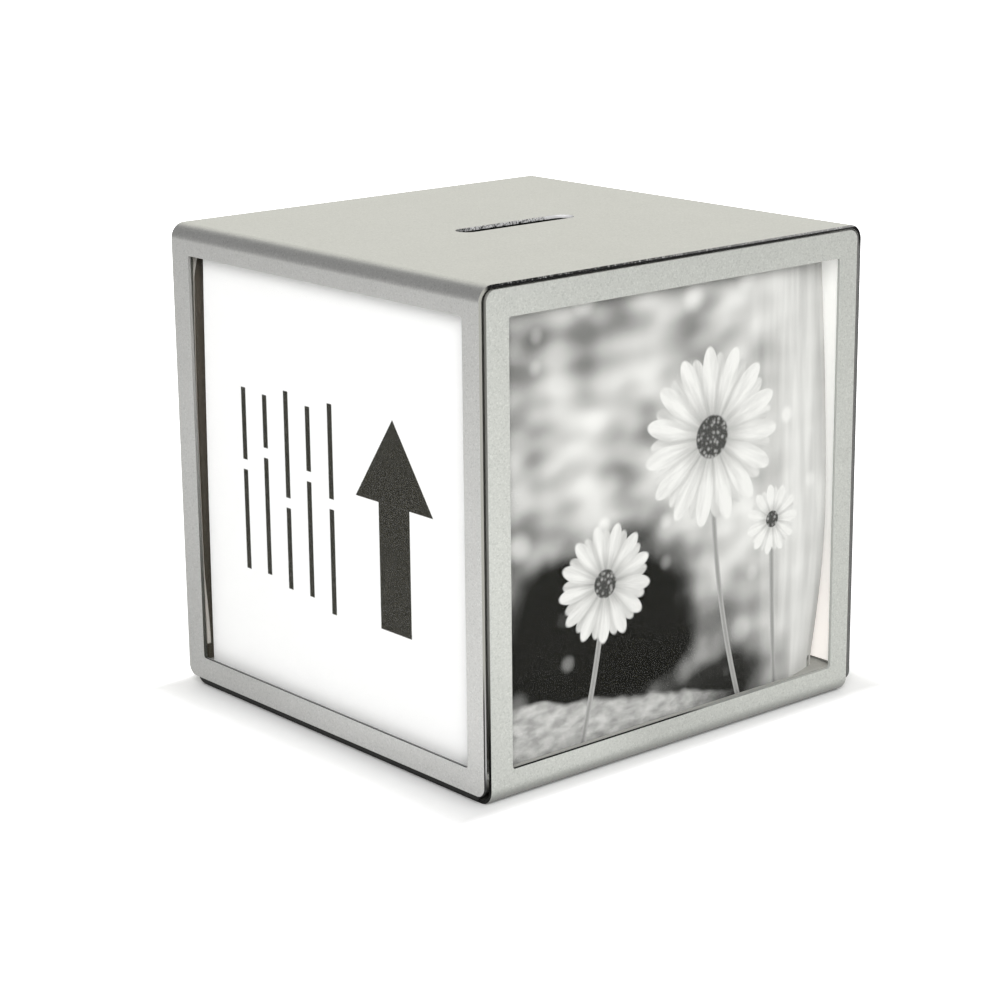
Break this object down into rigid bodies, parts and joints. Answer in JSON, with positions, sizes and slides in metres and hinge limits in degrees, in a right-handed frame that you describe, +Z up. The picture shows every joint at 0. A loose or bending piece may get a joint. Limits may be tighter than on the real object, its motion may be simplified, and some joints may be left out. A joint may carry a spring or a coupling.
{
  "type": "photo cube coin bank",
  "caption": "Photo cube with a coin slot in its top: a bent-sheet shell with square windows pulls up off a matching shell that holds prints, clear covers and a coin box.",
  "frame": {"origin": "on the surface it stands on, in the middle of the cube's outline seen from above", "axes": "+Z up, along the way the upper shell pulls off; -Y out of the window with the large print, in the lower shell; -X out of the window with the white card, in the upper shell; the coin slot's long side lies along X"},
  "size_m": [0.0954, 0.0926, 0.094],
  "materials": {
    "upper_shell_paint": "satin silver",
    "lower_shell_paint": "satin silver",
    "coin_box_plastic": "matt",
    "cover_plastic": "clear gloss",
    "print_paper": "satin",
    "card": "matt"
  },
  "bodies": {
    "standing_cube": {"lower_shell": "lower_shell_paint", "coin_box": "coin_box_plastic", "front_cover_sheet": "cover_plastic", "back_cover_sheet": "cover_plastic", "left_cover_sheet": "cover_plastic", "right_cover_sheet": "cover_plastic", "front_photo_print": "print_paper", "back_photo_print": "print_paper", "left_title_card": "card", "right_photo_print": "print_paper"},
    "pull_off_shell": {"upper_shell": "upper_shell_paint"}
  },
  "joints": [
    {"name": "shell_pull_off", "type": "slide", "parent": "standing_cube", "child": "pull_off_shell", "axis": [0, 0, 1], "range_m": [0, 0.1]}
  ]
}
